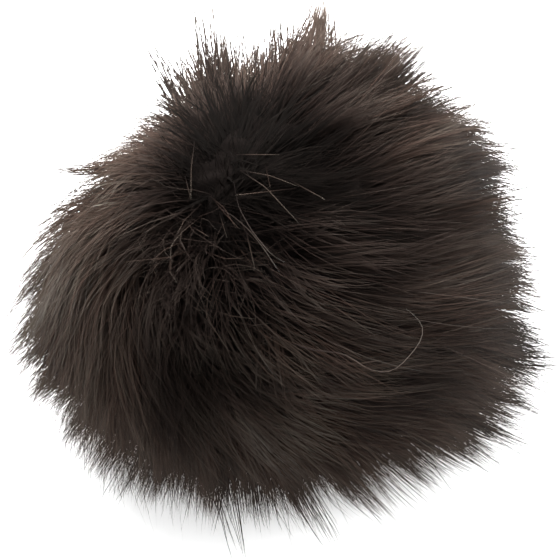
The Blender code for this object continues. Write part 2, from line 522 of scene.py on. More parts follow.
    def combed(self, directions: np.ndarray) -> np.ndarray:
        """The way the hair is combed: away from the nearest stretch of the parting, with the strokes added.

        Args:
            directions: Unit vectors out of the ball.

        Returns:
            Unit vectors along the ball's surface.
        """
        parting = self.parting()
        grip = np.exp(self.parting_grip * directions @ parting.T)
        nearest = grip @ parting / grip.sum(axis=1, keepdims=True)
        way = unit(directions - nearest)
        for comb in self.combs:
            near = nearness(directions, comb.azimuth, comb.elevation, comb.spread)
            way = way + comb.strength * near[:, None] * np.array(comb.towards)
        return unit(way - directions * (way * directions).sum(axis=1, keepdims=True))


@dataclass
class Tress:
    """Locks, wisps or hairs, as arrays with one entry for each."""

    roots: np.ndarray  # unit vectors from the ball's centre
    turn: np.ndarray  # radians sideways from the combed way
    lift: np.ndarray  # degrees up from the usual lean
    size: np.ndarray  # share of the usual length
    tone: np.ndarray  # what is added to the coat's own


# ------------------------------------------------------------------------------------------------ finishes


# A Mix node's sockets share their names among its kinds, so those for colours are picked by number.
MIX_FACTOR, MIX_FIRST, MIX_SECOND, MIX_RESULT = 0, 6, 7, 2


@dataclass(frozen=True)
class HairFinish:
    """Dyed animal hair, darkest at the root, which also stands in as painted shade deep in the coat.

    Its scales give each hair a soft bright line, kept low as on matt fur. The thin tips let a little light
    through, which softens the rim.
    """

    name: str
    along: tuple[tuple[float, str], ...]  # root to tip
    tones: tuple[tuple[float, str], ...]  # dark to light hair, each tinted a little its own way
    roughness: float = 0.6
    specular: float = 0.016
    specular_tint: str = "e8d8cc"
    shine_through: float = 0.15
    shine_colour: tuple[float, float, float] = (0.9, 0.9, 0.9)
    shine_depth: float = 0.8 * MM

    def material(self) -> bpy.types.Material:
        """Builds the material: a root-to-tip ramp on the map's V, times a hair-to-hair ramp on its U."""
        material = bpy.data.materials.new(self.name)
        material.use_nodes = True
        tree = material.node_tree
        shader = tree.nodes["Principled BSDF"]
        lay = add_node(tree, "UVMap", {"uv_map": TONE_MAP})
        parts = add_node(tree, "SeparateXYZ", links={"Vector": lay.outputs["UV"]})
        along = self.ramp(tree, parts.outputs["Y"], self.along)
        tone = self.ramp(tree, parts.outputs["X"], self.tones)
        mixed = add_node(tree, "Mix", {"data_type": "RGBA", "blend_type": "MULTIPLY"})
        mixed.inputs[MIX_FACTOR].default_value = 1.0
        tree.links.new(along, mixed.inputs[MIX_FIRST])
        tree.links.new(tone, mixed.inputs[MIX_SECOND])
        tree.links.new(mixed.outputs[MIX_RESULT], shader.inputs["Base Color"])
        shader.inputs["Roughness"].default_value = self.roughness
        shader.inputs["Specular IOR Level"].default_value = self.specular
        shader.inputs["Specular Tint"].default_value = linear_colour(self.specular_tint)
        shader.inputs["Subsurface Weight"].default_value = self.shine_through
        shader.inputs["Subsurface Radius"].default_value = self.shine_colour
        shader.inputs["Subsurface Scale"].default_value = self.shine_depth
        return material

    def ramp(
        self, tree: bpy.types.NodeTree, value: bpy.types.NodeSocket, stops: tuple[tuple[float, str], ...]
    ) -> bpy.types.NodeSocket:
        """A colour ramp over a value.

        Args:
            tree: The material's node tree.
            value: The socket that the ramp reads.
            stops: Places from 0 to 1, each with an sRGB hex colour.

        Returns:
            The ramp's colour socket.
        """
        node = add_node(tree, "ValToRGB", links={"Fac": value})
        bar = node.color_ramp.elements
        while len(bar) < len(stops):
            bar.new(0.5)
        for stop, (place, code) in zip(bar, stops):
            stop.position = place
            stop.color = linear_colour(code)
        return node.outputs["Color"]


@dataclass(frozen=True)
class PlainFinish:
    """A smooth matt surface of one colour, such as painted board."""

    name: str
    colour: str
    roughness: float
    specular: float = 0.5
    glow: float = 0.0

    def material(self) -> bpy.types.Material:
        """Builds the material."""
        material = bpy.data.materials.new(self.name)
        material.use_nodes = True
        shader = material.node_tree.nodes["Principled BSDF"]
        shader.inputs["Base Color"].default_value = linear_colour(self.colour)
        shader.inputs["Roughness"].default_value = self.roughness
        shader.inputs["Specular IOR Level"].default_value = self.specular
        if self.glow:
            shader.inputs["Emission Color"].default_value = linear_colour(self.colour)
            shader.inputs["Emission Strength"].default_value = self.glow
        return material


# Brown-black dye takes deepest at the root, and the tips are paler and greyer; the dark roots are also
# painted shade of the coat's depth, and the pale tips partly painted sheen. Only the lightest stray hairs
# reach the white end of the tones.
FUR = HairFinish(
    name="dyed_fur_hair",
    along=((0.12, "241e1d"), (0.60, "625750"), (0.84, "766e66"), (1.0, "a4a096")),
    tones=(
        (0.0, "0c0b0b"), (0.20, "363131"), (0.42, "484544"), (0.60, "635956"),
        (0.80, "757370"), (0.92, "868788"), (1.0, "ffffff"),
    ),
)
# Close wool under the guard hair, near-black as painted shade: it shows only as darkness between the locks.
WOOL_IN_PAINTED_SHADE = PlainFinish(name="wool_in_painted_shade", colour="0d0a09", roughness=1.0, specular=0.02)
# A white board lit from behind as well, as for a catalogue: the ball's shadow all but goes.
LIT_BOARD = PlainFinish(name="lit_white_board", colour="f4f4f4", roughness=0.9, specular=0.1, glow=0.2)


# ------------------------------------------------------------------------------------------------ the hair


LOCK_SEED = 5  # every coat has the same locks and wisps
LOCK_JITTER = 0.30  # how unevenly the locks are spread, as a share of the distance between them
WISP_JITTER = 0.35
LOCK_TONE = 0.06  # how much the locks' own tones vary
WISP_TONE = 0.05
LOCK_SIZES = (0.83, 1.12)  # shortest and longest lock, as shares of the usual length
WISP_SIZES = (0.93, 1.07)  # the same for a wisp or a hair, as shares of what it belongs to
LARGEST = 1.1
LENGTHS = (2.2, 2.0)  # the beta curve of the lengths in a coat
PALE_TONE = 0.35  # how much lighter a pale hair is
LIGHTEST = 0.93  # no coat is lighter: the rest of the tones is for stray hairs
PARTING_EDGE = 0.6  # nearness to the parting where its own hair ends
FRINGE_MIDDLE = -0.45  # height of the fringe on the unit ball
FRINGE_HALF = 0.27
FEW_RINGS = (0.0, 0.36, 0.62, 0.83, 1.0)
MORE_RINGS = (0.0, 0.27, 0.49, 0.68, 0.85, 1.0)
STRAY_RINGS = tuple(ring / 20 for ring in range(21))
LOWEST = 0.05 * MM  # height over the floor of a strand's lowest corner
STRIP = 1 / 96  # width of a hair on the tone map
SIDE_MARGIN = 0.005  # what the map leaves free at its sides
END_MARGIN = 0.01


class Lie(Enum):
    """How a coat's hairs keep together: the share by which a wisp draws in, and a lock draws in its wisps."""

    DENSE = (0.45, 0.25)  # wool, packed close
    WISPY = (0.66, 0.44)  # guard hair, drawn into wisps and locks
    LOOSE = (0.20, 0.10)  # single hairs that stray from the rest


class Grows(Enum):
    """Where on the ball a coat grows."""

    ALL_OVER = 1
    PARTING = 2
    FRINGE = 3  # low round the sides


@dataclass(frozen=True)
class Tuft:
    """A lock that stands out of the coat: hair rooted near a place runs together to one longer point."""

    azimuth: float
    elevation: float
    spread: float
    stretch: float
    lift: float = 0.0
    turn: float = 0.0


@dataclass
class Coat:
    """One layer of hair, over the whole ball or a part of it, grown in wisps of a few hairs each.

    A hair starts under the skin and takes equal steps. Each step goes out of the ball by the cosine of its
    lean and along the combed way by the sine, and the lean grows from root to tip, so a hair bends over and
    follows the ball round. Turns, lifts and leans are in degrees.
    """

    name: str
    lie: Lie
    hairs: int  # in each wisp
    length: float
    width: float  # of a hair near its root, on average
    seed: int
    rings: tuple[float, ...] = MORE_RINGS  # places of a hair's points, root to tip
    steps: int = 12
    locks: int = 460
    wisps: int = 4150
    lean_root: float = 44.0
    lean_tip: float = 79.0
    depth: float = 2 * MM
    lock_turn: float = 11.0
    wisp_turn: float = 6.0
    hair_turn: float = 2.5
    lock_lift: float = 8.0
    wisp_lift: float = 6.0
    hair_lift: float = 3.0
    shortest: float = 0.66
    longest: float = 1.10
    scatter: float = 0.42
    sway: float = 0.5 * MM
    flatness: float = 0.6
    taper: float = 1.6
    roundness: float = 0.20  # how far the shading follows each hair, and not the coat
    bare_below: float = -0.88
    shade: float = 0.0
    own_tone: float = 0.03
    pale: float = 0.0  # share of hairs that are much lighter than the rest
    shown_from: float = 0.60  # the place along a hair from which the coat leaves it uncovered
    grows: Grows = Grows.ALL_OVER

    def build(self, groom: Groom, material: bpy.types.Material) -> bpy.types.Object:
        """Grows the coat, draws it to the tufts and gives it its tones.

        Args:
            groom: The ball's shape and combing.
            material: What the hair is made of.

        Returns:
            The coat, as one piece.
        """
        own = np.random.default_rng(self.seed)
        hairs, paths = self.grown(groom, own)
        paths = self.swayed(groom, paths, own)
        for tuft in TUFTS:
            paths = self.drawn(groom, hairs.roots, paths, tuft, own)
        paths[..., 2] = np.maximum(paths[..., 2], groom.floor_clearance)
        shown = unit(paths[:, int(self.shown_from * self.steps)] - groom.centre)
        tone = hairs.tone + self.shade + self.own_tone * own.normal(0, 1, len(paths))
        tone = tone + PALE_TONE * (own.random(len(paths)) < self.pale)
        paths = self.picked(paths)
        tone = np.clip(groom.tones(paths, shown) + tone[:, None], 0, LIGHTEST)
        return place_piece(self.name, self.strands(groom, paths, tone, own), material)

    def grown(self, groom: Groom, own: np.random.Generator) -> tuple[Tress, np.ndarray]:
        """Grows the locks, the wisps in them and the hairs in the wisps, and draws each to what holds it.

        Args:
            groom: The ball's shape and combing.
            own: The source of what is the coat's own.

        Returns:
            The hairs, and their points as hairs x (steps + 1) x 3.
        """
        shared = np.random.default_rng(LOCK_SEED)
        locks = self.first_tresses(even_directions(self.locks, shared, LOCK_JITTER), shared)
        middles = self.wisp_middles(groom, shared)
        lock = (middles @ locks.roots.T).argmax(axis=1)
        wisps = self.next_tresses(groom, middles, locks, lock, self.wisp_turn, self.wisp_lift, shared)
        wisps.tone = wisps.tone + WISP_TONE * shared.normal(0, 1, len(middles))
        wisp = np.repeat(np.arange(len(middles)), self.hairs)
        spacing = math.sqrt(4 * math.pi / self.wisps)
        roots = unit(middles[wisp] + own.normal(0, self.scatter * spacing, (len(wisp), 3)))
        hairs = self.next_tresses(groom, roots, wisps, wisp, self.hair_turn, self.hair_lift, own)
        spread = self.longest - self.shortest
        hairs.size = hairs.size * (self.shortest + spread * own.beta(*LENGTHS, len(wisp)))
        wisp_pull, lock_pull = self.lie.value
        lock_paths, wisp_paths, paths = (self.walk(groom, tress) for tress in (locks, wisps, hairs))
        wisp_paths = self.gathered(wisp_paths, lock_paths[lock], lock_pull * groom.held(middles), shared)
        return hairs, self.gathered(paths, wisp_paths[wisp], wisp_pull * groom.held(roots), own)

    def wisp_middles(self, groom: Groom, shared: np.random.Generator) -> np.ndarray:
        """Where the coat's wisps grow.

        Args:
            groom: The ball's shape, for its parting.
            shared: The source of what all coats share.

        Returns:
            Unit vectors, one a wisp.
        """
        middles = even_directions(self.wisps, shared, WISP_JITTER)
        middles = middles[middles[:, 2] > self.bare_below]
        if self.grows is Grows.PARTING:
            middles = middles[groom.near_parting(middles) > PARTING_EDGE]
        elif self.grows is Grows.FRINGE:
            middles = middles[np.abs(middles[:, 2] - FRINGE_MIDDLE) < FRINGE_HALF]
        return middles

    def first_tresses(self, roots: np.ndarray, random: np.random.Generator) -> Tress:
        """Gives each lock its own turn, lift, size and tone, partly at random and partly in slow waves.

        Args:
            roots: Where each is rooted, as unit vectors from the ball's centre.
            random: The source of what is its own.

        Returns:
            The locks.
        """
        count = len(roots)
        turn = self.lock_turn * (0.7 * random.normal(0, 1, count) + 0.8 * Ripple(44, 61).at(roots))
        lift = self.lock_lift * (0.8 * random.normal(0, 1, count) + 0.7 * Ripple(52, 62).at(roots))
        tone = LOCK_TONE * random.normal(0, 1, count)
        return Tress(roots, np.radians(turn), lift, random.uniform(*LOCK_SIZES, count), tone)

    def next_tresses(
        self,
        groom: Groom,
        roots: np.ndarray,
        parents: Tress,
        parent: np.ndarray,
        turn: float,
        lift: float,
        random: np.random.Generator,
    ) -> Tress:
        """Gives each wisp or hair the ways of the lock or wisp that it belongs to, with a little of its own.

        Args:
            groom: The ball's shape and combing.
            roots: Where each is rooted, as unit vectors from the ball's centre.
            parents: The locks or wisps.
            parent: Which of them each belongs to.
            turn: The spread of its own sideways turn in degrees, to which the groom adds.
            lift: The spread of its own lift in degrees, to which the parting adds.
            random: The source of what is its own.

        Returns:
            The wisps or hairs.
        """
        count = len(roots)
        near = groom.near_parting(roots)
        turns = parents.turn[parent] + np.radians(turn + groom.ruffled(roots)) * random.normal(0, 1, count)
        lifts = parents.lift[parent] + (lift + 5 * near) * random.normal(0, 1, count)
        size = np.minimum(parents.size[parent] * random.uniform(*WISP_SIZES, count), LARGEST)
        return Tress(roots, turns, lifts, size, parents.tone[parent])

    def walk(self, groom: Groom, tress: Tress) -> np.ndarray:
        """Walks every hair from its root to its tip.

        Args:
            groom: The ball's shape and combing.
            tress: The hairs' roots, turns, lifts and sizes.

        Returns:
            Points, as hairs x (steps + 1) x 3.
        """
        here = groom.on_skin(tress.roots, self.depth)
        step = (self.length * groom.reach(tress.roots) * tress.size)[:, None] / self.steps
        points = [here]
        for index in range(self.steps):
            out = groom.outward(here)
            along = groom.combed(out)
            across = np.cross(out, along)
            along = along * np.cos(tress.turn)[:, None] + across * np.sin(tress.turn)[:, None]
            share = (index + 0.5) / self.steps
            lean = self.lean_root + (self.lean_tip - self.lean_root) * share - tress.lift
            lean = np.radians(np.clip(lean * groom.laid(out), 0, 86))[:, None]
            here = here + step * (out * np.cos(lean) + along * np.sin(lean))
            here[:, 2] = np.maximum(here[:, 2], groom.floor_clearance)
            points.append(here)
        return np.stack(points, axis=1)

    def gathered(
        self, paths: np.ndarray, guides: np.ndarray, share: np.ndarray, random: np.random.Generator
    ) -> np.ndarray:
        """Draws hairs together towards their tips: a point moves to its guide's point by share x own x t^1.4.

        Args:
            paths: Points, as hairs x (steps + 1) x 3.
            guides: The points that they are drawn to, one path a hair.
            share: How far each hair is drawn.
            random: The source of each hair's own part of that pull.

        Returns:
            The points, moved. t runs from 0 at the root to 1 at the tip.
        """
        t = np.linspace(0, 1, paths.shape[1])[None, :, None]
        pull = share[:, None, None] * random.uniform(0.3, 1.35, (len(paths), 1, 1)) * t**1.4
        pull = np.clip(pull, 0, 0.95)
        return paths * (1 - pull) + guides * pull

    def drawn(
        self, groom: Groom, roots: np.ndarray, paths: np.ndarray, tuft: Tuft, random: np.random.Generator
    ) -> np.ndarray:
        """Draws the hair near a tuft's place together along the tuft's own path, by nearness x own x t^1.1.

        Args:
            groom: The ball's shape and combing.
            roots: Where each hair is rooted.
            paths: Points, as hairs x (steps + 1) x 3.
            tuft: The tuft.
            random: The source of each hair's own part of that pull.

        Returns:
            The points, moved. t runs from 0 at the root to 1 at the tip.
        """
        place = compass(tuft.azimuth, tuft.elevation)[None]
        turn, lift, size = np.radians([tuft.turn]), np.array([tuft.lift]), np.array([tuft.stretch])
        guide = self.walk(groom, Tress(place, turn, lift, size, np.zeros(1)))
        near = nearness(roots, tuft.azimuth, tuft.elevation, tuft.spread)
        t = np.linspace(0, 1, paths.shape[1])[None, :, None]
        own = random.uniform(0.55, 1.0, (len(roots), 1, 1))
        pull = np.clip(1.25 * near, 0, 0.93)[:, None, None] * own * t**1.1
        return paths * (1 - pull) + guide * pull

    def swayed(self, groom: Groom, paths: np.ndarray, random: np.random.Generator) -> np.ndarray:
        """Adds each hair's own slow wave: t x sin(2 pi n t + phase) sideways and 0.6 of its cosine outward.

        Args:
            groom: The ball's shape, for the outward way.
            paths: Points, as hairs x (steps + 1) x 3.
            random: The source of each hair's n, phase and size of wave.

        Returns:
            The points, moved. t runs from 0 at the root to 1 at the tip.
        """
        count, rings = paths.shape[:2]
        t = np.linspace(0, 1, rings)[None, :]
        turns = random.uniform(0.35, 1.0, (count, 1))
        phase = random.uniform(0, 2 * math.pi, (count, 1))
        size = self.sway * random.normal(0, 1, (count, 1))
        side = size * t * np.sin(2 * math.pi * turns * t + phase)
        rise = 0.6 * size * t * np.cos(2 * math.pi * turns * t + phase)
        out = unit(paths - groom.centre)
        across = unit(np.cross(np.gradient(paths, axis=1), out))
        return paths + side[..., None] * across + rise[..., None] * out

    def picked(self, paths: np.ndarray) -> np.ndarray:
        """The paths' points at the coat's ring places, part of the way along a step where need be.

        Args:
            paths: Points, as hairs x (steps + 1) x 3.

        Returns:
            Points, as hairs x rings x 3.
        """
        at = np.array(self.rings) * self.steps
        low = np.minimum(at.astype(int), self.steps - 1)
        part = (at - low)[None, :, None]
        return paths[:, low] * (1 - part) + paths[:, low + 1] * part

    def strands(
        self, groom: Groom, paths: np.ndarray, tone: np.ndarray, random: np.random.Generator
    ) -> bpy.types.Mesh:
        """Makes every path a closed strand, with its tones in the map: U by the tone, V from root to tip.

        Args:
            groom: The ball's shape, for the outward way.
            paths: Points, as hairs x rings x 3.
            tone: How light each hair is at each ring.
            random: The source of the widths.

        Returns:
            The mesh.
        """
        points, normals = self.sections(groom, paths, random)
        count, size = points.shape[:2]
        corners, around, ends = self.pattern(paths.shape[1] - 2)
        faces = (np.arange(count)[:, None, None] * size + corners[None]).reshape(-1, 3)
        mesh = new_mesh(self.name, points.reshape(-1, 3), faces)
        u = SIDE_MARGIN + (1 - 2 * SIDE_MARGIN - STRIP) * tone[:, ends] + STRIP * around[None]
        v = END_MARGIN + (1 - 2 * END_MARGIN) * np.array(self.rings)[ends][None]
        layer = mesh.uv_layers.new(name=TONE_MAP)
        places = np.stack([u, np.broadcast_to(v, u.shape)], axis=-1)
        layer.data.foreach_set("uv", places.astype(np.float32).ravel())
        mesh.normals_split_custom_set_from_vertices(normals.reshape(-1, 3).astype(np.float32))
        return mesh

    def sections(
        self, groom: Groom, paths: np.ndarray, random: np.random.Generator
    ) -> tuple[np.ndarray, np.ndarray]:
        """Carries a three-cornered section along every path, with a point at both ends.

        The section's corners lie at (-1/2, -f/3), (1/2, -f/3) and (0, 2f/3) of the hair's width, sideways
        and outward, where f is the flatness. The width is the hair's own times 1 - t^taper, t from root to
        tip. The normals are the ball's outward way, turned a little to the hair's own by the roundness, so
        that a coat shades as one.

        Args:
            groom: The ball's shape, for the outward way.
            paths: Points, as hairs x rings x 3.
            random: The source of the widths.

        Returns:
            The strands' points and the normals at them, both as hairs x points x 3.
        """
        count, rings = paths.shape[:2]
        corners = (rings - 2) * 3
        t = np.array(self.rings)[None, 1:-1]
        width = self.width * random.uniform(0.65, 1.35, (count, 1)) * (1 - t**self.taper)
        tangent = unit(paths[:, 2:] - paths[:, :-2])
        out = unit(paths[:, 1:-1] - groom.centre)
        side = unit(np.cross(out, tangent))
        up = np.cross(tangent, side)
        wide = np.array([-0.5, 0.5, 0.0])[None, None, :, None]
        tall = np.array([-1 / 3, -1 / 3, 2 / 3])[None, None, :, None] * self.flatness
        offset = wide * side[:, :, None] + tall * up[:, :, None]
        ring = (paths[:, 1:-1, None] + width[..., None, None] * offset).reshape(count, corners, 3)
        points = np.concatenate([paths[:, :1], ring, paths[:, -1:]], axis=1)
        points[..., 2] = np.maximum(points[..., 2], LOWEST)
        facing = np.array([[-0.8, 0.6], [0.8, 0.6], [0.0, 1.0]])[None, None]
        turned = facing[..., :1] * side[:, :, None] + facing[..., 1:] * up[:, :, None]
        normal = unit(self.roundness * turned + (1 - self.roundness) * out[:, :, None])
        normals = np.concatenate([out[:, :1], normal.reshape(count, corners, 3), out[:, -1:]], axis=1)
        return points, normals

    @staticmethod
    def pattern(inner: int) -> tuple[np.ndarray, np.ndarray, np.ndarray]:
        """The triangles of one strand, whose points are the root, the rings' corners in order, and the tip.

        Args:
            inner: How many rings lie between root and tip.

        Returns:
            The triangles' points, and for each corner of each triangle its share of the way round the strand
            and the number of its ring, where 0 is the root.
        """
        corners, around, ends = [], [], []
        tip = inner * 3 + 1

        def ring(r: int, k: int) -> int:
            """The number of corner k of inner ring r."""
            return 1 + r * 3 + k % 3

        for k in range(3):
            corners.append((0, ring(0, k + 1), ring(0, k)))
            around.append((k + 0.5, k + 1, k))
            ends.append((0, 1, 1))
            for r in range(inner - 1):
                corners.append((ring(r, k), ring(r, k + 1), ring(r + 1, k + 1)))
                around.append((k, k + 1, k + 1))
                ends.append((r + 1, r + 1, r + 2))
                corners.append((ring(r, k), ring(r + 1, k + 1), ring(r + 1, k)))
                around.append((k, k + 1, k))
                ends.append((r + 1, r + 2, r + 2))
            corners.append((ring(inner - 1, k), ring(inner - 1, k + 1), tip))
            around.append((k, k + 1, k + 0.5))
            ends.append((inner, inner, inner + 1))
        return np.array(corners), np.array(around, float).ravel() / 3, np.array(ends).ravel()


@dataclass(frozen=True)
class Sprig:
    """Hairs that stand out of the coat from one small patch, fanned out or drawn to a point."""

    azimuth: float
    elevation: float
    towards: tuple[float, float, float]
    length: float
    hairs: int
    patch: float = 4.0  # degrees
    fan: float = 0.25
    gather: float = 0.0
    bend: float = 0.12

    def paths(self, groom: Groom, steps: int, random: np.random.Generator) -> np.ndarray:
        """Grows the hairs along root + L (t d + t^2 b), and draws them to their own middle by gather x t^1.3.

        Args:
            groom: The ball's shape.
            steps: How many steps a hair takes.
            random: The source of roots, lengths L, ways d and bends b.

        Returns:
            Points, as hairs x (steps + 1) x 3.
        """
        count = self.hairs
        spread = math.radians(self.patch)
        roots = unit(compass(self.azimuth, self.elevation) + random.normal(0, spread, (count, 3)))
        way = unit(unit(np.array(self.towards)) + random.normal(0, self.fan, (count, 3)))
        length = self.length * (0.55 + 0.45 * random.beta(2.5, 1.5, (count, 1, 1)))
        bend = random.normal(0, self.bend, (count, 1, 3))
        t = np.linspace(0, 1, steps + 1)[None, :, None]
        paths = groom.on_skin(roots)[:, None] + length * (t * way[:, None] + t * t * bend)
        middle = groom.on_skin(compass(self.azimuth, self.elevation)[None])
        middle = middle[:, None] + self.length * t * unit(np.array(self.towards))
        pull = self.gather * t**1.3
        return paths * (1 - pull) + middle * pull


@dataclass(frozen=True)
class Stray:
    """A single hair lying loose over the coat, through places: azimuth, elevation, mm over the skin."""

    places: tuple[tuple[float, float, float], ...]
    tone: float = 0.9

    def path(self, groom: Groom, steps: int) -> np.ndarray:
        """Joins the places with straight stretches, and thrice moves each point to (a + 2b + c) / 4.

        Args:
            groom: The ball's shape.
            steps: How many steps the hair takes.

        Returns:
            The hair's points, where b is a point and a and c are those beside it.
        """
        places = np.array(self.places)
        ways = np.stack([compass(azimuth, elevation) for azimuth, elevation, _ in self.places])
        points = groom.on_skin(ways, -places[:, 2] * MM)
        along = np.linspace(0, len(points) - 1, steps + 1)
        numbers = np.arange(len(points))
        path = np.stack([np.interp(along, numbers, column) for column in points.T], axis=1)
        for _ in range(3):
            path[1:-1] = (path[:-2] + 2 * path[1:-1] + path[2:]) / 4
        return path


@dataclass
class LooseHair:
    """The sprigs and the stray hairs, which the photograph shows one by one."""

    sprig_coat: Coat
    stray_coat: Coat
    sprig_tone: float = 0.05

    def build(self, groom: Groom, material: bpy.types.Material) -> None:
        """Builds the sprigs as one piece and the strays as another."""
        self.build_sprigs(groom, material)
        self.build_strays(groom, material)

    def build_sprigs(self, groom: Groom, material: bpy.types.Material) -> bpy.types.Object:
        """Grows every sprig, toned as the coat is where it shows.

        Args:
            groom: The ball's shape and tones.
            material: What the hair is made of.

        Returns:
            The sprigs, as one piece.
        """
        coat = self.sprig_coat
        random = np.random.default_rng(coat.seed)
        paths = np.concatenate([sprig.paths(groom, coat.steps, random) for sprig in SPRIGS])
        shown = unit(paths[:, -3] - groom.centre)  # near the tip
        paths = coat.picked(paths)
        own_tone = self.sprig_tone * random.normal(0, 1, (len(paths), 1))
        tone = np.clip(groom.tones(paths, shown) + coat.shade + own_tone, 0, LIGHTEST)
        return place_piece(coat.name, coat.strands(groom, paths, tone, random), material)

    def build_strays(self, groom: Groom, material: bpy.types.Material) -> bpy.types.Object:
        """Lays every stray hair, each in its own tone.

        Args:
            groom: The ball's shape.
            material: What the hair is made of.

        Returns:
            The strays, as one piece.
        """
        coat = self.stray_coat
        random = np.random.default_rng(coat.seed)
        paths = coat.picked(np.stack([stray.path(groom, coat.steps) for stray in STRAYS]))
        tone = np.repeat([[stray.tone] for stray in STRAYS], paths.shape[1], axis=1)
        return place_piece(coat.name, coat.strands(groom, paths, tone, random), material)


@dataclass
class Underfur:
    """The dense wool that the guard hair grows through: a lumpy closed ball just outside the skin."""

    rows: int = 64
    columns: int = 112
    proud: float = 2.5 * MM
    lumps: float = 1.2 * MM

    def build(self, groom: Groom, material: bpy.types.Material) -> bpy.types.Object:
        """Builds the ball as r(d) = skin + proud + lumps x ripples, on a grid with a point at each pole.

        Args:
            groom: The ball's shape.
            material: What the wool is made of.

        Returns:
            The wool, as one piece.
        """
        latitude = np.linspace(-90, 90, self.rows + 2)[1:-1]
        longitude = np.linspace(0, 360, self.columns, endpoint=False)
        lat, lon = np.radians(np.meshgrid(latitude, longitude, indexing="ij"))
        grid = np.stack([np.cos(lat) * np.cos(lon), np.cos(lat) * np.sin(lon), np.sin(lat)], axis=-1)
        directions = np.concatenate([[[0, 0, -1.0]], grid.reshape(-1, 3), [[0, 0, 1.0]]])
        uneven = Ripple(14, 41).at(directions) + 0.6 * Ripple(6, 42).at(directions)
        points = groom.on_skin(directions, -(self.proud + self.lumps * uneven))
        wool = new_round_mesh("underfur", points, self.rows, self.columns)
        return place_piece("underfur", wool, material)


# ------------------------------------------------------------------------------------------------ the studio


@dataclass(frozen=True)
class SoftBox:
    """A square light that is turned towards the ball."""

    name: str
    place: tuple[float, float, float]
    side: float
    watts: float


@dataclass
class Studio:
    """A pale floor, soft light from all round, and the camera, high in front of the ball."""

    target: tuple[float, float, float] = (0.0, -0.004, 0.0475)
    elevation: float = 60.0  # degrees over the floor
    distance: float = 0.325
    lens: float = 85.0  # millimetres
    floor_half: float = 1.5
    surround: float = 1.5
    boxes: tuple[SoftBox, ...] = (
        SoftBox("key_box", (-0.30, 0.60, 0.80), side=0.7, watts=54.0),  # behind the ball, on its left
        SoftBox("fill_box", (0.55, 0.15, 0.75), side=0.6, watts=10.0),
    )

    def build(self) -> None:
        """Sets the floor, the light and the camera."""
        self.build_floor()
        self.build_surround()
        for box in self.boxes:
            self.build_box(box)
        self.build_camera()

    def build_floor(self) -> None:
        """Lays one white square, apart from the ball."""
        h = self.floor_half
        corners = np.array([[-h, -h, 0], [h, -h, 0], [h, h, 0], [-h, h, 0]])
        mesh = new_mesh("floor", corners, np.array([[0, 1, 2, 3]]))
        mesh.materials.append(LIT_BOARD.material())
        floor = bpy.data.objects.new("floor", mesh)
        bpy.context.scene.collection.objects.link(floor)

    def build_surround(self) -> None:
        """White light from all round, shown without a film look, so that the floor stays white."""
        world = bpy.data.worlds.new("surround")
        world.use_nodes = True
        background = world.node_tree.nodes["Background"]
        background.inputs["Color"].default_value = (1, 1, 1, 1)
        background.inputs["Strength"].default_value = self.surround
        bpy.context.scene.world = world
        bpy.context.scene.view_settings.view_transform = "Standard"

    def build_box(self, box: SoftBox) -> None:
        """Hangs one soft box and turns it towards the ball."""
        light = bpy.data.lights.new(box.name, "AREA")
        light.size = box.side
        light.energy = box.watts
        lamp = bpy.data.objects.new(box.name, light)
        lamp.location = box.place
        way = Vector(self.target) - Vector(box.place)
        lamp.rotation_euler = way.to_track_quat("-Z", "Y").to_euler()
        bpy.context.scene.collection.objects.link(lamp)

    def build_camera(self) -> None:
        """Sets the camera, which looks down at the ball from straight in front of it."""
        data = bpy.data.cameras.new("camera")
        data.lens = self.lens
        camera = bpy.data.objects.new("camera", data)
        rise = math.radians(self.elevation)
        back = Vector((0, -math.cos(rise), math.sin(rise)))
        camera.location = Vector(self.target) + back * self.distance
        camera.rotation_euler = (-back).to_track_quat("-Z", "Y").to_euler()
        bpy.context.scene.collection.objects.link(camera)
        bpy.context.scene.camera = camera


# -------------------------------------------------------------------------------------------- the whole ball


TUFTS = (
    Tuft(azimuth=46, elevation=34, spread=5, stretch=1.02, lift=6),  # small point on the crown's right
    Tuft(azimuth=22, elevation=30, spread=5, stretch=1.15, lift=6, turn=15),  # right shoulder
    Tuft(azimuth=139, elevation=43, spread=6, stretch=1.18, lift=4),  # wisp over the left flank
    Tuft(azimuth=176, elevation=34, spread=5, stretch=1.12, lift=4),  # one below it
    Tuft(azimuth=126, elevation=22, spread=5, stretch=1.40, lift=4),  # wisp that stands off behind the flank
    # Points down the left side.
    Tuft(azimuth=162, elevation=14, spread=4, stretch=1.10, lift=12),
    Tuft(azimuth=165, elevation=2, spread=4, stretch=1.10, lift=4),
    Tuft(azimuth=189, elevation=-2, spread=4, stretch=1.10, lift=4, turn=-20),
    Tuft(azimuth=195, elevation=-10, spread=4, stretch=1.10, lift=12),
    Tuft(azimuth=210, elevation=-18, spread=4, stretch=1.25, lift=12),
    Tuft(azimuth=222, elevation=-14, spread=4, stretch=1.12, lift=12),
    Tuft(azimuth=231, elevation=-14, spread=4, stretch=1.12, lift=12),
    Tuft(azimuth=238, elevation=-15, spread=4, stretch=1.15, lift=4),
    # Points along the front.
    Tuft(azimuth=252, elevation=-14, spread=4, stretch=1.12, lift=12),
    Tuft(azimuth=249, elevation=6, spread=3, stretch=1.14, lift=12),
    Tuft(azimuth=264, elevation=-14, spread=4, stretch=1.14, lift=12),
    Tuft(azimuth=273, elevation=-18, spread=4, stretch=1.12, lift=4),
    Tuft(azimuth=264, elevation=6, spread=3, stretch=1.14, lift=4),
    Tuft(azimuth=286, elevation=-16, spread=4, stretch=1.14, lift=6),
    Tuft(azimuth=273, elevation=10, spread=3, stretch=1.14, lift=4),
    Tuft(azimuth=300, elevation=-8, spread=4, stretch=1.14, lift=12),
    Tuft(azimuth=312, elevation=-12, spread=4, stretch=1.14, lift=8),
)
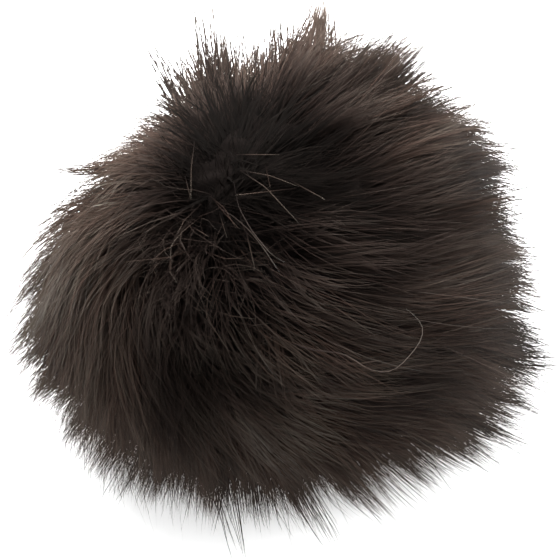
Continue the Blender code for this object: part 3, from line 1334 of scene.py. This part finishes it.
SPRIGS = (
    # The fan left of the cleft, and the points that stand out of it.
    Sprig(117, 46, (-0.06, 0.86, 0.50), 28 * MM, hairs=170, patch=4.5, fan=0.15),
    Sprig(118, 46, (-0.10, 0.86, 0.50), 39 * MM, hairs=36, patch=3.5, fan=0.07, gather=0.6),
    Sprig(130, 50, (-0.46, 0.77, 0.44), 31 * MM, hairs=36, patch=3.5, fan=0.07, gather=0.6),
    Sprig(126, 48, (-0.25, 0.84, 0.48), 28 * MM, hairs=30, patch=3.5, fan=0.10, gather=0.4),
    Sprig(112, 46, (-0.06, 0.86, 0.50), 28 * MM, hairs=26, patch=3.5, fan=0.10, gather=0.4),
    Sprig(106, 46, (-0.02, 0.87, 0.50), 24 * MM, hairs=12, patch=3, fan=0.10, gather=0.5),
    Sprig(110, 46, (0.19, 0.85, 0.49), 29 * MM, hairs=3, patch=3, fan=0.08, gather=0.2),
    # The crown's peak, the hair right of it, and the crown's left edge.
    Sprig(74, 52, (0.20, 0.85, 0.49), 26 * MM, hairs=130, patch=6, fan=0.09, gather=0.8, bend=0.05),
    Sprig(68, 50, (0.34, 0.81, 0.47), 23 * MM, hairs=80, patch=6, fan=0.14, gather=0.2),
    Sprig(84, 52, (0.16, 0.83, 0.50), 26 * MM, hairs=90, patch=5, fan=0.12),
    Sprig(88, 52, (-0.02, 0.87, 0.50), 24 * MM, hairs=14, patch=3, fan=0.08, gather=0.4),
    Sprig(84, 52, (0.13, 0.86, 0.50), 27 * MM, hairs=4, patch=3, fan=0.06, gather=0.2),
    # Wisps on the crown's right, on the right shoulder and on the left flank.
    Sprig(52, 34, (0.72, 0.60, 0.36), 27 * MM, hairs=12, patch=4, fan=0.12, gather=0.4),
    Sprig(28, 34, (0.86, 0.44, 0.26), 27 * MM, hairs=30, patch=4, fan=0.12, gather=0.4),
    Sprig(150, 44, (-0.99, -0.03, -0.02), 31 * MM, hairs=44, patch=4, fan=0.06, gather=0.7),
    # Points down the left side.
    Sprig(176, 8, (-0.86, -0.44, -0.25), 29 * MM, hairs=14, patch=3, fan=0.07, gather=0.6),
    Sprig(188, 2, (-0.78, -0.55, -0.31), 30 * MM, hairs=14, patch=3, fan=0.07, gather=0.6),
    Sprig(196, -6, (-0.73, -0.59, -0.34), 32 * MM, hairs=10, patch=3, fan=0.07, gather=0.6),
    Sprig(222, -14, (-0.58, -0.71, -0.41), 26 * MM, hairs=8, patch=3, fan=0.07, gather=0.6),
    Sprig(230, -14, (-0.49, -0.76, -0.44), 26 * MM, hairs=8, patch=3, fan=0.07, gather=0.6),
    Sprig(237, -14, (-0.37, -0.80, -0.46), 24 * MM, hairs=8, patch=3, fan=0.07, gather=0.6),
    # Points along the front.
    Sprig(252, -12, (-0.10, -0.86, -0.50), 25 * MM, hairs=10, patch=3, fan=0.06, gather=0.7),
    Sprig(250, -4, (0.25, -0.84, -0.48), 34 * MM, hairs=12, patch=3, fan=0.05, gather=0.7),
    Sprig(262, -12, (0.16, -0.85, -0.49), 26 * MM, hairs=10, patch=3, fan=0.06, gather=0.6),
    Sprig(266, -4, (0.53, -0.73, -0.42), 35 * MM, hairs=14, patch=3, fan=0.05, gather=0.7),
    Sprig(276, 0, (0.73, -0.59, -0.34), 37 * MM, hairs=14, patch=3, fan=0.05, gather=0.7),
    Sprig(290, -4, (0.75, -0.57, -0.33), 34 * MM, hairs=10, patch=3, fan=0.06, gather=0.6),
)
STRAYS = (
    # Over the hollow of the parting.
    Stray(((182, 75, 16), (205, 73, 17), (221, 69, 16)), 0.75),
    Stray(((205, 71, 16), (221, 69, 16)), 0.70),
    Stray(((228, 81, 17), (256, 82, 18), (287, 82, 17)), 0.70),
    Stray(((240, 79, 16), (272, 78, 18), (293, 75, 17)), 0.75),
    Stray(((267, 81, 16), (272, 76, 17)), 0.60),
    Stray(((240, 79, 16), (268, 76, 18), (287, 68, 17)), 0.80),
    Stray(((287, 77, 17), (297, 74, 17), (305, 71, 16)), 0.75),
    Stray(((291, 75, 17), (266, 75, 18), (247, 74, 17)), 0.65),
    Stray(((239, 77, 16), (252, 72, 17), (262, 68, 18), (271, 64, 17), (277, 62, 17)), 0.92),
    Stray(((238, 71, 16), (251, 70, 18), (261, 68, 18), (268, 65, 18), (275, 60, 17)), 0.88),
    Stray(((241, 70, 16), (250, 66, 16)), 0.75),
    Stray(((259, 68, 17), (265, 61, 17)), 0.80),
    Stray(((228, 70, 16), (226, 65, 17), (226, 62, 16)), 0.70),
    Stray(((230, 65, 16), (241, 65, 16)), 0.65),
    Stray(((242, 62, 16), (252, 62, 17), (260, 63, 16)), 0.65),
    Stray(((231, 72, 16), (246, 70, 18), (256, 68, 17)), 0.60),
    Stray(((229, 72, 16), (244, 71, 18), (254, 68, 17)), 0.55),
    Stray(((303, 68, 16), (306, 65, 17)), 0.80),
    # Over the foot of the parting.
    Stray(((244, 54, 16), (252, 48, 17), (259, 42, 16)), 0.75),
    Stray(((251, 51, 16), (258, 51, 17), (266, 51, 16)), 0.75),
    # Across the front.
    Stray(((278, 58, 16), (291, 52, 17), (301, 42, 16)), 0.75),
    Stray(((309, 41, 16), (315, 35, 16), (320, 27, 15)), 0.55),
    # The pale fibre that curls back on itself.
    Stray(
        (
            (277, 46, 16), (282, 44, 17), (288, 43, 17), (292, 41, 17), (295, 37, 17), (299, 34, 17),
            (303, 33, 17), (306, 35, 18), (310, 36, 18), (313, 38, 18), (313, 41, 18), (311, 45, 17),
        ),
        0.99,
    ),
)


@dataclass
class PomPom:
    """The fur ball: its underfur and its coats of hair."""

    groom: Groom = field(default_factory=Groom)
    coats: tuple[Coat, ...] = (
        Coat(  # broad soft wool that fills the ball under the guard hair
            "wool", Lie.DENSE, 2, 34 * MM, 1.1 * MM, seed=11, rings=FEW_RINGS, depth=3 * MM, shortest=0.72,
            longest=1.0, flatness=0.35, scatter=0.30, shade=-0.05, taper=2.2, roundness=0.15,
        ),
        # The parting hair's shade darkens it to sit in the parting's painted shade.
        Coat(  # thin hair in the parting, which stands up and goes every way
            "parting_hair", Lie.LOOSE, 3, 26 * MM, 0.17 * MM, seed=15, grows=Grows.PARTING, lean_root=12,
            lean_tip=52, hair_turn=90, hair_lift=14, shade=-0.10,
        ),
        Coat(  # loose uneven hair low round the sides
            "fringe_hair", Lie.LOOSE, 4, 44 * MM, 0.20 * MM, seed=16, grows=Grows.FRINGE, rings=FEW_RINGS,
            shortest=0.50, longest=1.25, hair_turn=20, hair_lift=9, shade=0.06, taper=2.2,
        ),
        Coat(  # short flat hair that closes the gaps between the locks
            "down_hair", Lie.WISPY, 2, 44 * MM, 0.44 * MM, seed=21, rings=FEW_RINGS, shortest=0.50,
            longest=0.83, flatness=0.3, roundness=0.15,
        ),
        Coat(  # the three lengths of guard hair: the longer, the thinner
            "short_guard_hair", Lie.WISPY, 2, 44 * MM, 0.31 * MM, seed=22, shortest=0.55, longest=0.96,
            flatness=0.4,
        ),
        Coat(
            "guard_hair", Lie.WISPY, 2, 44 * MM, 0.20 * MM, seed=23, shortest=0.66, longest=1.18, taper=1.9,
        ),
        Coat(
            "long_guard_hair", Lie.WISPY, 2, 44 * MM, 0.16 * MM, seed=24, shortest=0.74, longest=1.37,
            hair_turn=7, hair_lift=6, scatter=0.5, pale=0.04, taper=2.3,
        ),
        Coat(  # single hairs that stand off the rest
            "flyaway_hair", Lie.LOOSE, 1, 45 * MM, 0.19 * MM, seed=31, wisps=520, lean_root=34, lean_tip=72,
            hair_turn=20, hair_lift=9, shade=0.06, pale=0.2,
        ),
    )
    loose_hair: LooseHair = field(
        default_factory=lambda: LooseHair(
            # The sprigs' shade darkens them a little: partly their own dark tone, partly painted shade where
            # the crown's peak catches the light.
            sprig_coat=Coat(
                "sprigs", Lie.LOOSE, 1, 30 * MM, 0.25 * MM, seed=41, rings=FEW_RINGS, shade=-0.02, taper=3.2,
            ),
            stray_coat=Coat(
                "stray_hairs", Lie.LOOSE, 1, 30 * MM, 0.16 * MM, seed=42, steps=32, rings=STRAY_RINGS,
                taper=3.0,
            ),
        )
    )

    def build(self) -> None:
        """Builds every piece of the ball."""
        Underfur().build(self.groom, WOOL_IN_PAINTED_SHADE.material())
        fur = FUR.material()
        for coat in self.coats:
            coat.build(self.groom, fur)
        self.loose_hair.build(self.groom, fur)


def main() -> None:
    """Builds the ball and the studio round it."""
    logging.basicConfig(level=logging.INFO, format="%(name)s %(message)s")
    PomPom().build()
    Studio().build()


if __name__ == "__main__":
    main()
